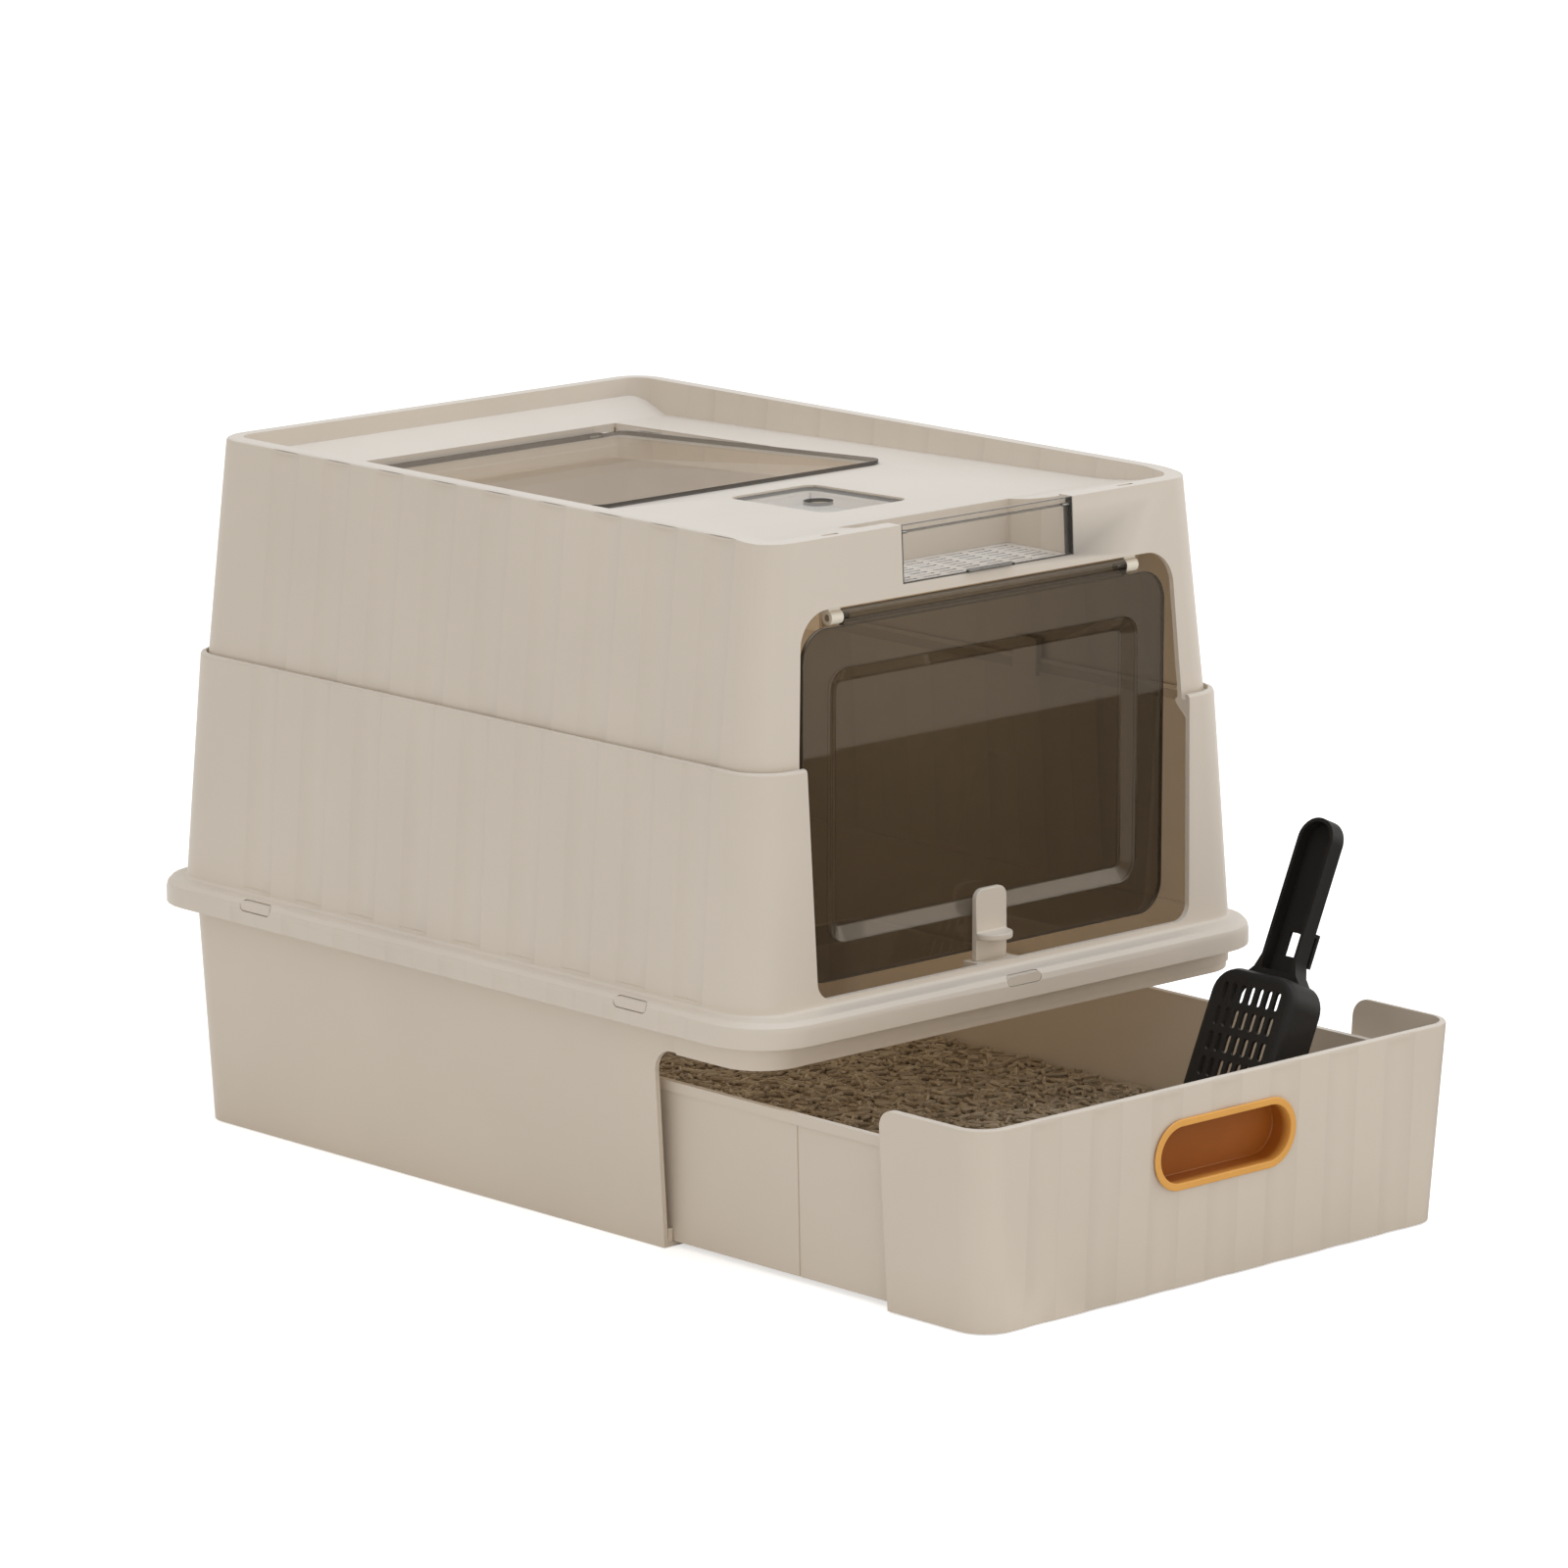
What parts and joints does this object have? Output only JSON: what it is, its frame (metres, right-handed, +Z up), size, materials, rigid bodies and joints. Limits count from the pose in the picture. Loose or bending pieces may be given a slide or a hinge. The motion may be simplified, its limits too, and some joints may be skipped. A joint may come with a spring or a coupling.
{
  "type": "drawer litter box",
  "caption": "Covered cat litter box with a two-part fluted hood, tinted swing flap, tinted top lid, pull-out litter drawer and a slotted scoop.",
  "frame": {"origin": "centre of the base's underside, on the floor", "axes": "+Z up, -Y out of the front where the flap and the drawer are, +X to the right of someone who looks at the back"},
  "size_m": [0.41, 0.6937, 0.4076],
  "materials": {
    "hood_plastic": "satin",
    "base_plastic": "satin",
    "smoke_plastic": "polished, see-through",
    "clear_plastic": "polished, see-through",
    "cream_plastic": "satin",
    "handle_plastic": "polished",
    "scoop_plastic": "fine grained",
    "pin_metal": "turned",
    "pad_rubber": "matt",
    "carbon": "matt, felted",
    "litter": null
  },
  "bodies": {
    "base": {"base": "base_plastic", "rubber_pads": "pad_rubber", "drawer_runners": "base_plastic"},
    "hood": {"lower_hood": "hood_plastic", "upper_hood": "hood_plastic", "snap_tongues": "hood_plastic", "hood_clips": "hood_plastic", "latch_guide": "hood_plastic", "flap_brackets": "cream_plastic", "flap_pins": "pin_metal", "lid_pins": "pin_metal", "deodoriser_cup": "base_plastic", "carbon_pad": "carbon", "scent_tray": "base_plastic", "pocket_pins": "pin_metal"},
    "drawer": {"drawer": "base_plastic", "handle_cup": "handle_plastic", "litter_bed": "litter"},
    "scoop": {"scoop": "scoop_plastic"},
    "flap": {"flap_door": "smoke_plastic"},
    "latch": {"latch_slider": "hood_plastic"},
    "top_lid": {"top_lid": "smoke_plastic"},
    "deodoriser_cover": {"deodoriser_cover": "smoke_plastic"},
    "pocket_cover": {"pocket_cover": "clear_plastic"}
  },
  "joints": [
    {"name": "hood_lift", "type": "slide", "parent": "base", "child": "hood", "axis": [0, 0, 1], "range_m": [0, 0.05]},
    {"name": "drawer_slide", "type": "slide", "parent": "base", "child": "drawer", "axis": [0, -1, 0], "range_m": [-0.177, 0]},
    {"name": "scoop_lift", "type": "slide", "parent": "drawer", "child": "scoop", "axis": [0, -0.28, 0.96], "range_m": [0, 0.4425]},
    {"name": "flap_hinge", "type": "hinge", "parent": "hood", "child": "flap", "pos_m": [0, -0.2315, 0.3596], "axis": [1, 0, 0], "range_deg": [0, 85]},
    {"name": "latch_slide", "type": "slide", "parent": "hood", "child": "latch", "axis": [0, 0, -1], "range_m": [0, 0.0108]},
    {"name": "lid_hinge", "type": "hinge", "parent": "hood", "child": "top_lid", "pos_m": [0, 0.1975, 0.38081], "axis": [-1, 0, 0], "range_deg": [0, 95]},
    {"name": "deodoriser_cover_lift", "type": "slide", "parent": "hood", "child": "deodoriser_cover", "axis": [0, 0, 1], "range_m": [0, 0.03]},
    {"name": "pocket_cover_hinge", "type": "hinge", "parent": "hood", "child": "pocket_cover", "pos_m": [0, -0.23229, 0.40075], "axis": [-1, 0, 0], "range_deg": [0, 100]}
  ],
  "couplings": [
    {"joint": "scoop_lift", "follows": "drawer_slide", "ratio": -2.5}
  ]
}
